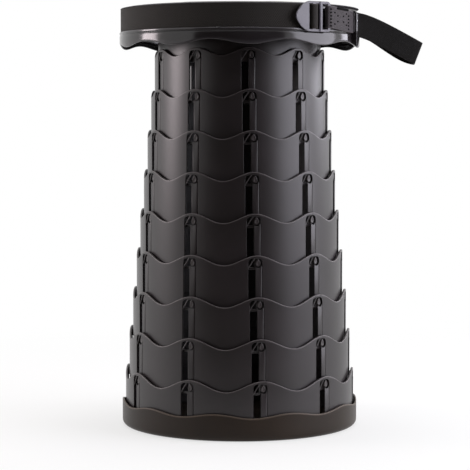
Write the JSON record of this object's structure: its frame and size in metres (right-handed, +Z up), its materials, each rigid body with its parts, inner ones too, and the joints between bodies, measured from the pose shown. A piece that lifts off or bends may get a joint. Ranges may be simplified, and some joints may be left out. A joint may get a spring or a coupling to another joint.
{
  "type": "collapsible telescopic stool",
  "caption": "Round stool of nested wavy-edged rings that telescope between a base tray and a flat disc seat with a webbing carry loop.",
  "frame": {"origin": "middle of the flat sole of the base tray, on the floor", "axes": "+Z up along the stool's axis, -Y towards the viewer of the picture, +X to the viewer's right, where the carry loop sticks out"},
  "size_m": [0.3291, 0.2586, 0.45],
  "materials": {
    "ring_plastic": "satin, fine moulded grain",
    "tray_plastic": "satin",
    "pad_rubber": "matte",
    "disc_plastic": "matte, faint embossed arcs",
    "skirt_plastic": "high gloss",
    "grip_plastic": "pebbled",
    "screw_steel": "plain zinc",
    "webbing": "woven nylon",
    "buckle_plastic": "satin"
  },
  "bodies": {
    "base": {"base_tray": "tray_plastic", "base_ring": "ring_plastic", "foot_pad_1": "pad_rubber", "foot_pad_2": "pad_rubber", "foot_pad_3": "pad_rubber", "foot_pad_4": "pad_rubber", "foot_pad_5": "pad_rubber"},
    "stage_1": {"ring_1": "ring_plastic"},
    "stage_2": {"ring_2": "ring_plastic"},
    "stage_3": {"ring_3": "ring_plastic"},
    "stage_4": {"ring_4": "ring_plastic"},
    "stage_5": {"ring_5": "ring_plastic"},
    "stage_6": {"ring_6": "ring_plastic"},
    "stage_7": {"ring_7": "ring_plastic"},
    "stage_8": {"ring_8": "ring_plastic"},
    "seat": {"neck_ring": "ring_plastic", "seat_disc": "disc_plastic", "seat_skirt": "skirt_plastic", "grip_plate": "grip_plastic", "neck_screw_1": "screw_steel", "neck_screw_2": "screw_steel", "neck_screw_3": "screw_steel", "neck_screw_4": "screw_steel", "neck_screw_5": "screw_steel", "rim_strap": "webbing", "strap_anchor": "webbing", "handle_loop": "webbing", "buckle": "buckle_plastic"}
  },
  "joints": [
    {"name": "ring_1_slide", "type": "slide", "parent": "base", "child": "stage_1", "axis": [0, 0, 1], "range_m": [-0.0428, 0]},
    {"name": "ring_2_slide", "type": "slide", "parent": "stage_1", "child": "stage_2", "axis": [0, 0, 1], "range_m": [-0.0428, 0]},
    {"name": "ring_3_slide", "type": "slide", "parent": "stage_2", "child": "stage_3", "axis": [0, 0, 1], "range_m": [-0.0428, 0]},
    {"name": "ring_4_slide", "type": "slide", "parent": "stage_3", "child": "stage_4", "axis": [0, 0, 1], "range_m": [-0.0428, 0]},
    {"name": "ring_5_slide", "type": "slide", "parent": "stage_4", "child": "stage_5", "axis": [0, 0, 1], "range_m": [-0.0428, 0]},
    {"name": "ring_6_slide", "type": "slide", "parent": "stage_5", "child": "stage_6", "axis": [0, 0, 1], "range_m": [-0.0428, 0]},
    {"name": "ring_7_slide", "type": "slide", "parent": "stage_6", "child": "stage_7", "axis": [0, 0, 1], "range_m": [-0.0428, 0]},
    {"name": "ring_8_slide", "type": "slide", "parent": "stage_7", "child": "stage_8", "axis": [0, 0, 1], "range_m": [-0.0428, 0]},
    {"name": "seat_slide", "type": "slide", "parent": "stage_8", "child": "seat", "axis": [0, 0, 1], "range_m": [-0.0428, 0]}
  ]
}
